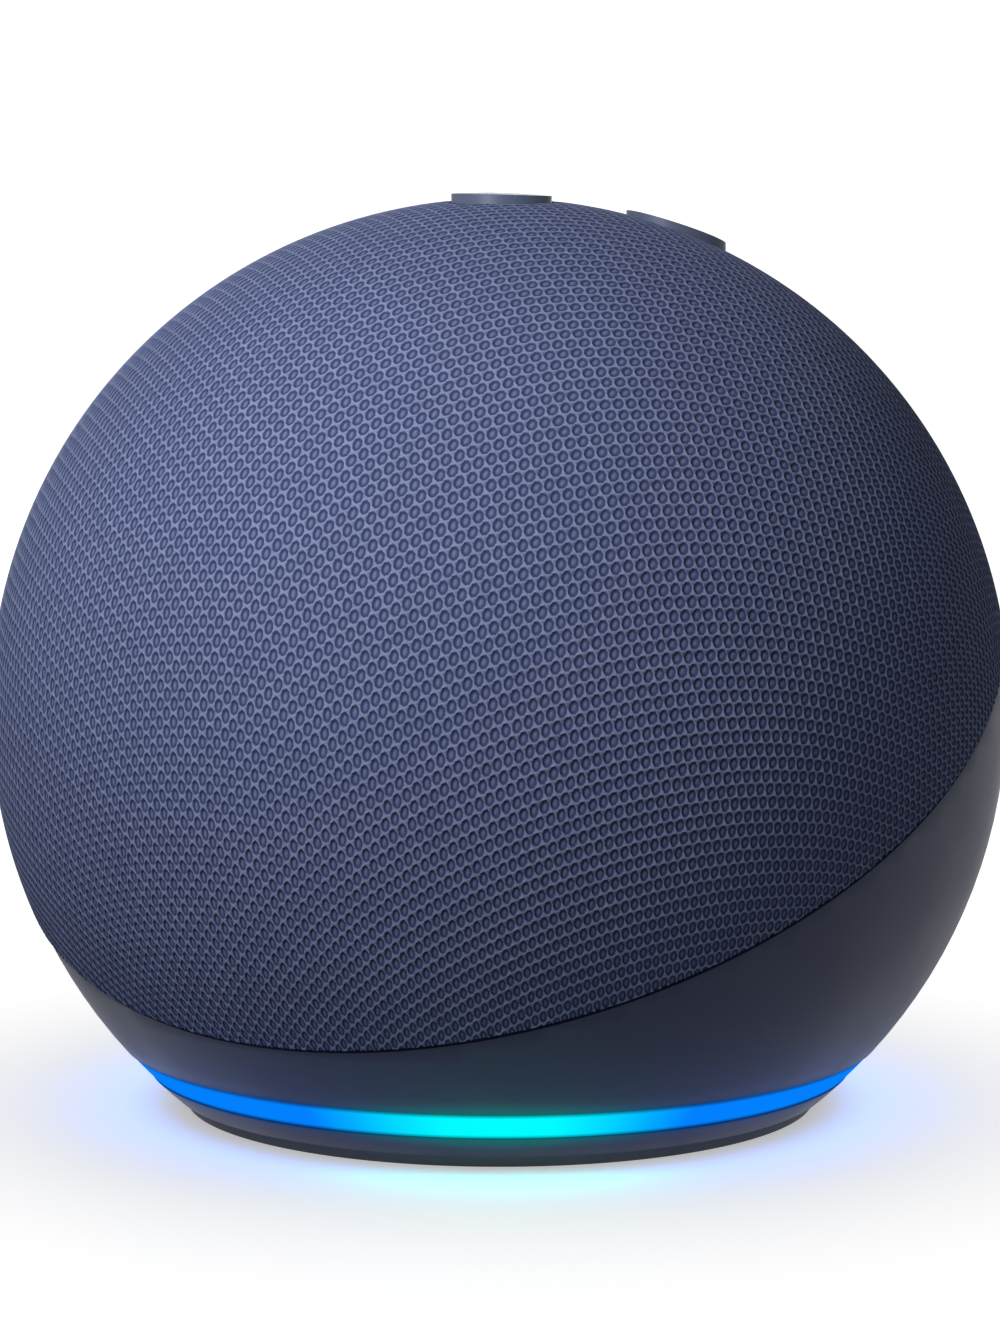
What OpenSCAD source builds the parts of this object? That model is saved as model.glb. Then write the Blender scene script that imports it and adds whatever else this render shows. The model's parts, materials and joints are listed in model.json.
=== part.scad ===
// Ball-shaped smart speaker with a knitted cover, four top keys and a light ring near its base.
// Millimetres. +Z is up and the front faces -Y. The origin is the centre of the footprint,
// on the surface that the speaker stands on.

/* [Ball] */
// Diameter over the knitted cover
ball_d = 100; // [99.5:0.1:100.5]
// Height of the ball's centre above the table
centre_h = 39; // [38.9:0.05:39.1]
// Thickness of the knitted cover
cover_t = 0.7; // [0.5:0.05:0.75]
// Lean of the cover's seam towards the front, in degrees
seam_tilt = 28.9; // [28:0.1:30]
// How far the seam lies below the ball's centre, along its own axis
seam_drop = 2.57; // [2.4:0.01:2.7]
// Height of the groove between the cover's edge and the rear shell
seam_gap = 0.5; // [0.4:0.05:0.6]

/* [Shells] */
// Step from the cover in to the moulded rear shell
shell_step = 0.3; // [0.25:0.05:0.35]
// Wall of the rear shell and of the dome
wall = 2; // [1.9:0.05:2.1]
// Rim by which the dome and the rear shell are screwed together: thickness
rim_t = 1.8; // [1.6:0.1:2]
// Number of screws round that rim
rim_screws = 6; // [4:2:8]
// Diameter of a sound hole in the dome
sound_hole_d = 2.6; // [2:0.1:3]
// Rings of sound holes round the middle one
sound_rings = 4; // [2:1:4]

/* [Base] */
// Thickness of the rubber foot
foot_t = 1.2; // [1.1:0.05:1.3]
// Diameter of the foot where it touches the table
foot_d = 62.2; // [61:0.1:62.6]
// Bottom edge of the light ring
ring_low = 3.53; // [3.5:0.01:3.6]
// Top edge of the light ring
ring_high = 6.23; // [6.1:0.01:6.3]
// Number of lamps behind the light ring
lamps = 24; // [12:12:36]

/* [Keys] */
// Diameter of a key
key_d = 9.8; // [9.6:0.1:10]
// Distance of each key's centre from the middle of the group
key_spread = 12.5; // [12.4:0.05:12.6]
// Distance from the ball's axis back to the middle of the group
key_back = 12.8; // [12.7:0.05:12.9]
// How far the keys' common top stands above the ball, at the middle of the group
key_proud = 0.3; // [0.25:0.01:0.35]
// Travel of a key
key_travel = 0.35; // [0.2:0.01:0.4]
// Depth of the marks in the keys
mark_depth = 0.15; // [0.1:0.01:0.2]

/* [Loudspeaker] */
// Height of the loudspeaker's axis above the table
driver_h = 41; // [40.9:0.05:41.1]
// Distance from the ball's axis forward to the speaker box's front face
baffle_front = 33.5; // [33.4:0.05:33.6]
// Diameter of the loudspeaker's flange
driver_d = 44; // [43.8:0.1:44.2]
// Outside diameter of the speaker box
box_d = 58; // [57.8:0.1:58.2]

/* [Power inlet] */
// Height of the inlet above the table
inlet_h = 14.8; // [14.6:0.05:15]
// Diameter of the hole in the rear shell
inlet_d = 9; // [8.8:0.1:9.2]
// Bore of the socket, which takes a 4 mm barrel plug
socket_d = 4.3; // [4.2:0.05:4.4]
// Diameter of the socket's centre pin
pin_d = 1.64; // [1.6:0.01:1.66]

/* [Hidden] */
$fn = 96;

// General
far = 60;              // half the side of the blocks that cut the ball
fit = 0.05;            // gap between pieces that rest on each other
through = 1;           // overrun of a cut past the face it leaves
screw_r = 1.1;         // threads of the larger screws
screw_head_r = 1.9;
screw_head_t = 1.3;
small_screw_r = 0.9;   // threads of the smaller screws
small_head_r = 1.6;
small_head_t = 1.2;

// Ball
ball_r = ball_d / 2;
shell_r = ball_r - shell_step;
shell_in = shell_r - wall;
dome_r = ball_r - cover_t - fit;
dome_in = dome_r - wall;

// Seam, measured along its leaning axis from the ball's centre
cover_edge = -seam_drop;
shell_edge = cover_edge - seam_gap;
rim_in = 43.2;
rim_screw_ring = 45.2;

// Base, from the table up
cup_floor_top = foot_t + 1.5;
cup_in = 32.6;
cup_top = ring_low - fit;
light_board_low = 3;
light_board_top = 4;
light_board_in = 24.7;
lamp_ring = 31;
reflector_low = 4.9;
reflector_top = 5.5;
tray_low = 5.6;
tray_top = 6.6;
tray_r = 32.8;
ring_in = 33;
shelf_low = ring_high + fit;
shelf_top = 8;
shelf_in = 31.8;
board_low = 7.6;
board_top = 8.8;
board_r = 31;
tongue_w = 14;
tongue_back = 34.6;
boss_top = 9.2;
base_screw_ring = 22.6;
ballast_r = 20.5;
LEGS = [[19, -20], [-19, -20], [19, 14], [-19, 14]];

// Speaker box and loudspeaker. Depths are measured back from the box's front face.
box_r = box_d / 2;
box_wall = 2;
box_back = 55.5;
box_split = 25.5;
split_gap = 0.5;
ear_ring = 23.9;
lug_ring = 31.2;
lead_x = 1.3;
lead_y = -25;
grommet_r = 2.6;
frame_r = driver_d / 2;
flange_t = 1.2;
basket_in = 17;
coil_r = 6.9;

// Keys
key_r = key_d / 2;
key_top_r = 60.5;
key_lean = asin(key_back / ball_r);
key_board_low = 71.6;
key_board_top = 72.8;
key_board_y = 9.5;
key_board_r = 21.5;
switch_w = 5.2;
switch_top = 74.4;
stem_end = 75;
stem_r = 1.5;
plunger_r = 1;
plunger_low = switch_top - key_travel - 0.15;
key_flange_r = key_r + 1.1;
key_flange_t = 0.8;
FRONT = -90;
RIGHT = 0;
BACK = 90;
LEFT = 180;
BOSSES = [[16, 0], [-16, 0], [13, 24.5], [-13, 24.5]];
MICS = [[6, -6.5], [-6, -6.5], [19, 5.5], [-19, 5.5]];

// Inlet, in distances behind the ball's axis
jack_front = 24;
jack_back = 35.5;
jack_w = 9.2;
jack_top = 19;
socket_bottom = 26;
pin_tip = 34.9;
collar_in = 36;
collar_wall = 1.8;

// ---------- helpers ----------

// A ball about the speaker's centre
module ball(r) {
    translate([0, 0, centre_h]) sphere(r = r);
}

// The leaning frame of the seam: its XY plane passes through the ball's centre
module seam_frame() {
    translate([0, 0, centre_h]) rotate([seam_tilt, 0, 0]) children();
}

module above_seam(height) {
    seam_frame() translate([-far, -far, height]) cube([2 * far, 2 * far, 2 * far]);
}

module below_seam(height) {
    seam_frame() translate([-far, -far, height - 2 * far]) cube([2 * far, 2 * far, 2 * far]);
}

// Everything between two heights
module slab(low, high) {
    translate([-far, -far, low]) cube([2 * far, 2 * far, high - low]);
}

module post(r, low, high) {
    translate([0, 0, low]) cylinder(r = r, h = high - low);
}

module tube(r_in, r_out, low, high) {
    difference() {
        post(r_out, low, high);
        post(r_in, low - through, high + through);
    }
}

// A box from its lowest corner to its highest one
module block(low, high) {
    translate(low) cube(high - low);
}

// Copies its children round the Z axis
module around(count, ring, first = 0) {
    for (i = [0 : count - 1])
        rotate([0, 0, first + i * 360 / count]) translate([ring, 0, 0]) children();
}

// The loudspeaker's frame: Z runs back from the box's front face, along the axis
module driver_frame_at() {
    translate([0, -baffle_front, driver_h]) rotate([-90, 0, 0]) children();
}

// A screw with its head's underside at z = 0 and its threads running up
module screw(r, head_r, head_t, length) {
    post(r, -fit, length);
    post(head_r, -head_t, 0);
}

module big_screw(length) {
    screw(screw_r, screw_head_r, screw_head_t, length);
}

module small_screw(length) {
    screw(small_screw_r, small_head_r, small_head_t, length);
}

// ---------- cover and shells ----------

module key_holes(gap) {
    for (turn = [FRONT, RIGHT, BACK, LEFT])
        key_place(turn) post(key_r + gap, key_board_top + 2, centre_h + far);
}

module fabric_cover() color("#454f80") difference() {
    intersection() {
        ball(ball_r);
        above_seam(cover_edge);
    }
    ball(ball_r - cover_t);
    key_holes(0.15);
}

module sound_holes() {
    translate([0, 0, driver_h]) rotate([90, 0, 0]) {
        post(sound_hole_d / 2, dome_in - 12, far);
        for (ring = [1 : sound_rings])
            around(6 * ring, 5 * ring) post(sound_hole_d / 2, dome_in - 12, far);
    }
}

module rim_holes(r) {
    seam_frame() around(rim_screws, rim_screw_ring) post(r, -10, cover_edge + rim_t + through);
}

module grille_dome() color("#22242e") difference() {
    intersection() {
        union() {
            difference() {
                ball(dome_r);
                ball(dome_in);
            }
            seam_frame() tube(rim_in, dome_in + 0.5, cover_edge, cover_edge + rim_t);
            for (at = BOSSES) translate(at) post(2.2, key_board_top, centre_h + dome_in);
        }
        ball(dome_r);
        above_seam(cover_edge);
    }
    sound_holes();
    key_holes(0.2);
    rim_holes(small_screw_r + fit);
    for (at = BOSSES) translate(at) post(small_screw_r + fit, key_board_top - through, 79);
    for (at = MICS) translate(at) post(0.6, key_board_top, centre_h + far);
}

module seam_gasket() color("#15161c") difference() {
    seam_frame() tube(rim_in + 0.2, shell_r - 0.8, shell_edge + fit, cover_edge - fit);
    rim_holes(small_screw_r + 0.15);
}

module collar(r, low) {
    translate([0, low, inlet_h]) rotate([-90, 0, 0]) cylinder(r = r, h = far - low);
}

module rear_housing() color("#333748") difference() {
    intersection() {
        union() {
            difference() {
                ball(shell_r);
                ball(shell_in);
            }
            seam_frame() tube(rim_in, shell_in + 0.5, shell_edge - rim_t, shell_edge);
            slab(shelf_low, shelf_top);
            collar(inlet_d / 2 + collar_wall, collar_in);
        }
        ball(shell_r);
        below_seam(shell_edge);
        slab(shelf_low, 2 * centre_h);
    }
    post(shelf_in, 0, shelf_top + through);
    post(ring_in + 0.2, 0, tray_top + fit);
    collar(inlet_d / 2, collar_in - through);
    block([-tongue_w / 2 - 0.5, board_r - 2, board_low - 0.1], [tongue_w / 2 + 0.5, tongue_back + 0.2, board_top]);
    rim_holes(small_screw_r + 0.15);
}

module dome_screws() color("#8a8d92") {
    seam_frame() around(rim_screws, rim_screw_ring)
        translate([0, 0, shell_edge - rim_t]) small_screw(rim_t + seam_gap + rim_t);
}

// ---------- light ring and base ----------

module light_ring() color("#35c8f0") difference() {
    intersection() {
        ball(shell_r - 0.1);
        slab(ring_low, ring_high);
    }
    post(ring_in, 0, ring_high + through);
}

module light_reflector() color("#f2f2f0") {
    tube(29.9, ring_in - 0.2, reflector_low, reflector_top);
}

module light_board() color("#1d5a3c") difference() {
    tube(light_board_in, cup_in - 0.3, light_board_low, light_board_top);
    around(4, 26, 45) post(0.8, 0, 10);
}

module ring_leds() color("#e8f4ff") {
    around(lamps, lamp_ring, 180 / lamps) block([-0.5, -0.8, light_board_top], [0.5, 0.8, 4.7]);
}

module base_cup() color("#2a2d3b") difference() {
    intersection() {
        ball(shell_r);
        slab(foot_t, cup_top);
    }
    difference() {
        post(cup_in, cup_floor_top, far);
        tube(30.5, 31.5, cup_floor_top - through, light_board_low);
    }
    around(4, base_screw_ring) {
        post(screw_r + 0.15, 0, far);
        post(screw_head_r + 0.2, 0, foot_t + 1);
    }
}

module foot_pad() color("#1a1b20") difference() {
    cylinder(r1 = foot_d / 2, r2 = foot_d / 2 + 0.5, h = foot_t);
    post(24, -through, 0.4);
}

module base_screws() color("#8a8d92") {
    around(4, base_screw_ring) translate([0, 0, foot_t + 1])
        screw(screw_r, screw_head_r, 1 - fit, 4);
}

module chassis_tray() color("#3a3c44") difference() {
    union() {
        post(tray_r, tray_low, tray_top);
        for (at = LEGS) translate(at) {
            post(3.8, tray_low, board_low);
            post(2.6, tray_low, boss_top);
        }
        around(4, base_screw_ring) post(1.9, cup_floor_top + fit, tray_top);
    }
    for (at = LEGS) translate(at) post(screw_r + 0.1, 0, far);
    around(4, base_screw_ring) post(screw_r + fit, 0, tray_top - 0.2);
    post(5, 0, far);
}

module tray_screws() color("#8a8d92") {
    for (at = LEGS) translate([at[0], at[1], tray_low]) big_screw(8);
}

module ballast_disc() color("#9a9ca0") difference() {
    post(ballast_r, cup_floor_top, tray_low - fit);
    post(3, 0, far);
    around(3, 13) post(1.6, 0, far);
}

// ---------- electronics ----------

module main_board() color("#1d5a3c") difference() {
    union() {
        post(board_r, board_low, board_top);
        block([-tongue_w / 2, 0, board_low], [tongue_w / 2, tongue_back, board_top]);
    }
    for (at = LEGS) translate(at) post(3, 0, far);
    post(1.5, 0, far);
}

module board_chips() color("#202226") {
    block([-8, -8, board_top], [2, 2, 9.8]);
    block([3, -9, board_top], [7, 1, 9.7]);
    block([-12, 3, board_top], [-2, 7, 9.7]);
    block([10, -6, board_top], [16, 1, 9.9]);
    block([4.8, 26.4, board_top], [11.5, 29, 10.6]);
    block([-17, -10, board_top], [-15.4, -4, 9.8]);
}

module thermal_pad() color("#8fb4c8") {
    block([-8, -8, 9.8], [2, 2, 10.3]);
}

module shield_can() color("#b9bcc0") difference() {
    block([-14, -14, board_top], [8.5, 8.5, 10.6]);
    block([-13.7, -13.7, board_top - through], [8.2, 8.2, 10.3]);
}

module heat_spreader() color("#c4c7cb") {
    block([-15.5, -16, 10.6], [12, 12, 11.4]);
}

module power_parts() color("#3c3f49") {
    for (at = [[-11.5, 24.5], [-18, 20.5]]) translate(at) post(2.5, board_top, 14.8);
    translate([17.5, 21.5]) post(3, board_top, 12.3);
}

module power_jack() color("#17181c") difference() {
    block([-jack_w / 2, jack_front, board_top], [jack_w / 2, jack_back, jack_top]);
    translate([0, socket_bottom, inlet_h]) rotate([-90, 0, 0]) cylinder(d = socket_d, h = far);
}

module jack_pin() color("#c9a44a") {
    translate([0, socket_bottom, inlet_h]) rotate([-90, 0, 0])
        cylinder(d = pin_d, h = pin_tip - socket_bottom);
}

// ---------- speaker box ----------

module lugs(low, high) {
    around(4, lug_ring, 45) post(2.6, low, high);
}

module lug_holes(r) {
    around(4, lug_ring, 45) post(r, 0, far);
}

// Legs that stand on the tray's bosses, on one side of the split
module box_legs(front) {
    for (at = LEGS) if ((at[1] < 0) == front) translate(at) post(2.6, boss_top + fit, 24);
}

module leg_holes() {
    for (at = LEGS) translate(at) post(screw_r + fit, 0, 15);
}

module enclosure_front() color("#2b2d34") difference() {
    union() {
        driver_frame_at() {
            translate([0, 0, 2]) cylinder(r = box_r, h = box_split - 2);
            cylinder(r1 = box_r - 2, r2 = box_r, h = 2);
            lugs(box_split - 4, box_split);
        }
        box_legs(true);
    }
    driver_frame_at() {
        difference() {
            post(box_r - box_wall, box_wall, far);
            around(4, ear_ring, 45) post(2.4, 0, 9);
        }
        post(18.2, -through, far);
        around(4, ear_ring, 45) post(screw_r + fit, -through, far);
        lug_holes(screw_r + fit);
    }
    leg_holes();
    translate([0, lead_y, 0]) post(grommet_r, 0, driver_h - 20);
}

module enclosure_rear() color("#2b2d34") difference() {
    union() {
        driver_frame_at() {
            rotate_extrude() polygon([
                [0, box_split + split_gap], [box_r, box_split + split_gap],
                [box_r, box_back - 8], [box_r - 8, box_back], [0, box_back]
            ]);
            lugs(box_split + split_gap, box_split + split_gap + 4);
        }
        box_legs(false);
    }
    driver_frame_at() {
        rotate_extrude() polygon([
            [0, 0], [box_r - box_wall, 0], [box_r - box_wall, box_back - 8.8],
            [box_r - 8.8, box_back - box_wall], [0, box_back - box_wall]
        ]);
        lug_holes(screw_r + 0.1);
    }
    leg_holes();
}

module enclosure_gasket() color("#101114") {
    driver_frame_at() tube(box_r - 1.8, box_r - 0.2, box_split + fit, box_split + split_gap - fit);
}

module enclosure_screws() color("#8a8d92") {
    driver_frame_at() around(4, lug_ring, 45)
        translate([0, 0, box_split + split_gap + 4]) mirror([0, 0, 1]) big_screw(8.3);
}

module acoustic_wadding() color("#e6e4dc") {
    driver_frame_at() tube(8, 25.5, 35, 46);
}

// ---------- loudspeaker ----------

module driver_frame() color("#74777c") driver_frame_at() difference() {
    union() {
        post(frame_r, -flange_t, 0);
        around(4, ear_ring, 45) post(2.6, -flange_t, 0);
        for (turn = [45 : 90 : 315]) rotate([0, 0, turn]) block([15, -2.6, -flange_t], [ear_ring, 2.6, 0]);
        cylinder(r1 = basket_in + 0.7, r2 = 13.3, h = 8.8);
        block([-3, 12, 6], [3, 16.2, 7.5]);
    }
    post(basket_in, -flange_t - through, 0);
    translate([0, 0, -fit]) cylinder(r1 = basket_in, r2 = 12.6, h = 8 + fit);
    post(8, 0, far);
    for (turn = [45 : 90 : 315]) rotate([0, 0, turn]) block([10, -4.5, 1.5], [20, 4.5, 7]);
    around(4, ear_ring, 45) post(screw_r + 0.1, -far, far);
}

module driver_top_plate() color("#8d9095") {
    driver_frame_at() tube(7.8, 13, 8.8, 11);
}

module driver_magnet() color("#2c2d30") {
    driver_frame_at() tube(9, 15, 11, 16);
}

module driver_yoke() color("#8d9095") driver_frame_at() {
    post(14.5, 16, 18);
    post(6.3, 9, 16.5);
}

// Ring cut from a closed outline of [radius, depth] points
module turned(points) {
    driver_frame_at() rotate_extrude() polygon(points);
}

// A pleated sheet: its middle line is a wave from r0 to r1, its ends at depths d0 and d1
function pleats(r0, r1, d0, d1, waves, height, t, steps) = concat(
    [for (i = [0 : steps]) let (u = i / steps)
        [r0 + (r1 - r0) * u, d0 + (d1 - d0) * u + height * sin(360 * waves * u) - t / 2]],
    [for (i = [steps : -1 : 0]) let (u = i / steps)
        [r0 + (r1 - r0) * u, d0 + (d1 - d0) * u + height * sin(360 * waves * u) + t / 2]]
);

module driver_spider() color("#c9a24c") {
    turned(pleats(coil_r + fit, 12.3, 6.3, 7.5, 3, 0.3, 0.3, 36));
}

module driver_surround() color("#1b1c1f") driver_frame_at() {
    rotate_extrude() intersection() {
        translate([15.1, -flange_t]) difference() {
            circle(r = 1.85);
            circle(r = 1.55);
        }
        translate([0, -far - flange_t]) square([far, far]);
    }
    tube(basket_in + 0.1, frame_r - 0.6, -flange_t - 0.3, -flange_t);
}

module driver_gasket() color("#26272b") {
    driver_frame_at() tube(18.6, frame_r - 0.4, -flange_t - 1.5, -flange_t - 0.3);
}

module driver_screws() color("#8a8d92") {
    driver_frame_at() around(4, ear_ring, 45) translate([0, 0, -flange_t]) big_screw(8.5);
}

module driver_terminals() color("#b08d3c") {
    driver_frame_at() block([-4, 16.2, 5], [4, 17, 9.5]);
}

module driver_cone() color("#2a2b2f") {
    turned([[coil_r + 0.1, 4.2], [coil_r + 0.1, 3.8], [13.1, -1.5], [13.2, -1.5], [13.2, -1.1]]);
}

module driver_dust_cap() color("#34363b") driver_frame_at() {
    rotate_extrude() intersection() {
        translate([0, 12]) difference() {
            circle(r = 11.7);
            circle(r = 11.4);
        }
        translate([0, -far]) square([6.6, far + 3]);
    }
}

module coil_former() color("#b9905a") {
    driver_frame_at() tube(coil_r - 0.15, coil_r, 3.6, 13);
}

module coil_winding() color("#b5652d") {
    driver_frame_at() tube(coil_r, coil_r + 0.55, 8.3, 12.5);
}

module speaker_leads() color("#b02020") {
    for (x = [-lead_x, lead_x]) translate([x, lead_y, 0]) post(0.6, board_top, driver_h - 17);
}

module lead_grommet() color("#101114") difference() {
    translate([0, lead_y, 0]) {
        post(grommet_r - fit, 11.9, 15);
        post(grommet_r + 0.8, 11, 11.9);
    }
    for (x = [-lead_x, lead_x]) translate([x, lead_y, 0]) post(0.65, 0, far);
}

module antennas() color("#c08a4a") driver_frame_at() {
    for (turn = [200, 300]) rotate([0, 0, turn]) rotate_extrude(angle = 40)
        translate([box_r + fit, 33.5]) square([0.25, 12]);
}

// ---------- key board ----------

module key_place(turn) {
    translate([key_spread * cos(turn), key_back + key_spread * sin(turn), 0]) children();
}

module button_board() color("#1d5a3c") difference() {
    translate([0, key_board_y, 0]) post(key_board_r, key_board_low, key_board_top);
    for (at = BOSSES) translate(at) post(small_screw_r + 0.15, 0, far * 2);
    for (at = MICS) translate(at) post(0.4, 0, far * 2);
}

module button_switches() color("#d8d8d4") {
    for (turn = [FRONT, RIGHT, BACK, LEFT]) key_place(turn) difference() {
        block([-switch_w / 2, -switch_w / 2, key_board_top], [switch_w / 2, switch_w / 2, switch_top]);
        post(plunger_r + 0.1, plunger_low - key_travel - 0.15, far * 2);
    }
}

module board_screws() color("#8a8d92") {
    for (at = BOSSES) translate([at[0], at[1], key_board_low]) small_screw(6.5);
}

module microphones() color("#c8b068") {
    for (at = MICS) translate(at) block([-1.5, -2, key_board_top], [1.5, 2, 73.9]);
}

module mic_gaskets() color("#1b1c1f") intersection() {
    for (at = MICS) translate(at) tube(0.6, 1.7, 73.9, far * 2);
    ball(dome_in - fit);
}

// Flat cable in the plane across X: it leaves the key board backwards, bends down and runs to the main board
module button_ribbon() color("#d9c27a") {
    bend = 1.2;
    thick = 0.3;
    back = 28;
    bend_y = back - bend;
    bend_z = key_board_low - bend;
    translate([5, 0, 0]) rotate([90, 0, 90]) linear_extrude(6) polygon(concat(
        [[20, key_board_low]],
        [for (a = [0 : 15 : 90]) [bend_y + bend * sin(a), bend_z + bend * cos(a)]],
        [[back, 10.6], [back - thick, 10.6]],
        [for (a = [90 : -15 : 0]) [bend_y + (bend - thick) * sin(a), bend_z + (bend - thick) * cos(a)]],
        [[20, key_board_low - thick]]
    ));
}

// ---------- keys ----------

// The keys' common top: part of a ball that is flatter than the cover
module key_top(r) {
    translate([0, 0, centre_h]) rotate([-key_lean, 0, 0])
        translate([0, 0, ball_r + key_proud - key_top_r]) sphere(r = r);
}

// One key at its place. Its child is the mark's flat outline.
module key(turn) {
    difference() {
        intersection() {
            key_place(turn) post(key_r, key_board_top, centre_h + far);
            key_top(key_top_r);
        }
        ball(dome_in - 0.1 - key_flange_t);
        difference() {
            key_place(turn) translate([0, 0, centre_h]) linear_extrude(far) children();
            key_top(key_top_r - mark_depth);
        }
    }
    intersection() {
        key_place(turn) post(key_flange_r, key_board_top, centre_h + far);
        difference() {
            ball(dome_in - 0.1);
            ball(dome_in - 0.1 - key_flange_t);
        }
    }
    intersection() {
        key_place(turn) post(stem_r, stem_end, centre_h + far);
        ball(dome_in - 0.1);
    }
}

module plunger(turn) {
    key_place(turn) post(plunger_r, plunger_low, stem_end);
}

module bar(length) {
    square([length, 0.6], center = true);
}

module volume_up_button() color("#3f4459") key(BACK) {
    bar(4);
    rotate(90) bar(4);
}

module volume_down_button() color("#3f4459") key(FRONT) {
    bar(4);
}

module action_button() color("#3f4459") key(LEFT) {
    circle(r = 0.9);
}

module mute_button() color("#3f4459") key(RIGHT) {
    difference() {
        circle(r = 2.1);
        circle(r = 1.55);
    }
    rotate(45) bar(3.4);
}

module volume_up_plunger() color("#40434a") plunger(BACK);
module volume_down_plunger() color("#40434a") plunger(FRONT);
module action_plunger() color("#40434a") plunger(LEFT);
module mute_plunger() color("#40434a") plunger(RIGHT);

// ---------- drawing ----------

fabric_cover();
grille_dome();
seam_gasket();
rear_housing();
dome_screws();
light_ring();
light_reflector();
light_board();
ring_leds();
base_cup();
foot_pad();
base_screws();
chassis_tray();
tray_screws();
ballast_disc();
main_board();
board_chips();
thermal_pad();
shield_can();
heat_spreader();
power_parts();
power_jack();
jack_pin();
enclosure_front();
enclosure_rear();
enclosure_gasket();
enclosure_screws();
acoustic_wadding();
driver_frame();
driver_top_plate();
driver_magnet();
driver_yoke();
driver_spider();
driver_surround();
driver_gasket();
driver_screws();
driver_terminals();
driver_cone();
driver_dust_cap();
coil_former();
coil_winding();
speaker_leads();
lead_grommet();
antennas();
button_board();
button_switches();
board_screws();
microphones();
mic_gaskets();
button_ribbon();
volume_up_button();
volume_down_button();
action_button();
mute_button();
volume_up_plunger();
volume_down_plunger();
action_plunger();
mute_plunger();
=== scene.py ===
# %% [markdown]
# # A ball-shaped smart speaker
# The real object is a small loudspeaker in a ball. A knitted cover is stretched over its
# front and top, a moulded shell closes its back, and a ring of light runs round its foot.
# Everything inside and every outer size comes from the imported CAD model, which is loaded
# first as a fixed frame. The lesson then models what the hand and eye notice: the knit,
# the keys, the lit ring and the surface of each material.

# %% Load the frame
import json
import math

import bmesh
import bpy
import numpy as np
from mathutils import Matrix, Vector

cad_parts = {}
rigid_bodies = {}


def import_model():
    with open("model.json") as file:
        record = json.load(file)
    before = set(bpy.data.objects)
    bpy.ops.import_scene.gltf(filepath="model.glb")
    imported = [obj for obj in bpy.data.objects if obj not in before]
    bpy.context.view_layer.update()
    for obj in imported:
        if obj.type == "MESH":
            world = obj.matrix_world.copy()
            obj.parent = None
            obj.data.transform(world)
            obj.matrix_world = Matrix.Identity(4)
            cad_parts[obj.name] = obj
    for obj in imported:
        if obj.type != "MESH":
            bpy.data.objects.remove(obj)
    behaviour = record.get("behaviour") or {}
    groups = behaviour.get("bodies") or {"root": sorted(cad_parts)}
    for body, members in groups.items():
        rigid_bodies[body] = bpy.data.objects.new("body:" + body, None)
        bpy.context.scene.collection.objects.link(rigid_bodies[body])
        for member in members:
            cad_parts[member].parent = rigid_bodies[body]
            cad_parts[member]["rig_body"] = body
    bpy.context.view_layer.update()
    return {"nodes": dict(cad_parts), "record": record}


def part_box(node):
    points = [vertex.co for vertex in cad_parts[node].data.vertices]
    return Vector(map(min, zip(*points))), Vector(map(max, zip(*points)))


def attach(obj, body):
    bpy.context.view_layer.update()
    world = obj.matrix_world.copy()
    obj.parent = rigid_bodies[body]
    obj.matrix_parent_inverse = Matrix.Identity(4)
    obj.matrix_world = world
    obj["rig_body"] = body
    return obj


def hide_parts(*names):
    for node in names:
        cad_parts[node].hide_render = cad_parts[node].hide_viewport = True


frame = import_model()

nodes = frame["nodes"]

# %% [markdown]
# ## The ball and its leaning seam
# The cover ends at a seam whose plane leans to the front. Its axis is the pole that the
# knit is stretched from, so the ball's centre and that axis are used in most steps. Both
# are the CAD's own values, and the cover's corners are measured against them here.

# %% Name the ball's sizes
MM = 0.001
centre = Vector((0, 0, 39 * MM))
ball_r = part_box("fabric_cover")[1].x
seam_lean = math.radians(28.9)
seam_drop = 2.57 * MM
pole = Vector((0, -math.sin(seam_lean), math.cos(seam_lean)))
reach = [(v.co - centre).length / MM for v in nodes["fabric_cover"].data.vertices]
print(f"cover lies {min(reach):.2f} to {max(reach):.2f} mm from the ball's centre")

# %% [markdown]
# ## The camera
# The camera stands a little above the ball and to its right, half a metre away, with a long
# lens so that the ball stays round. It comes first, because it settles how large each
# detail has to be. A small upward shift leaves more room above the ball than below it.

# %% Place the camera
def look_from(azimuth, elevation, distance):
    a, e = math.radians(azimuth), math.radians(elevation)
    back = Vector((math.sin(a) * math.cos(e), -math.cos(a) * math.cos(e), math.sin(e)))
    return centre + back * distance, (-back).to_track_quat("-Z", "Y")

camera_data = bpy.data.cameras.new("camera")
camera = bpy.data.objects.new("camera", camera_data)
bpy.context.scene.collection.objects.link(camera)
camera.rotation_mode = "QUATERNION"
camera.location, camera.rotation_quaternion = look_from(30.8, 8.05, 0.504)
camera_data.lens = 138.4
camera_data.sensor_width = 36
camera_data.shift_y = 0.0323
camera_data.clip_start, camera_data.clip_end = 0.01, 50
bpy.context.scene.camera = camera
print("camera stands at", [round(v, 3) for v in camera.location])

# %% [markdown]
# ## Table, daylight and lamps
# A white table in a white room, with one soft lamp close to the ball, high on the camera's
# left. Because it is close, its light fades quickly towards the lower right. A broad lamp
# behind keeps the back readable. Both lamps are linked to the object only. The table's even
# white is a glow of its own, seen by the camera, and an occlusion node dims that glow where
# the ball stands close above it: a painted contact shadow. The room is white to the eye and
# in reflections but lights the dark object gently, as distant walls do.

# %% Build the table
scene = bpy.context.scene
scene.view_settings.view_transform = "Standard"
scene.view_settings.look = "None"

def fresh_material(name):
    material = bpy.data.materials.new(name)
    material.use_nodes = True
    tree = material.node_tree
    tree.nodes.clear()
    out = tree.nodes.new("ShaderNodeOutputMaterial")
    return material, tree, out

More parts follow.
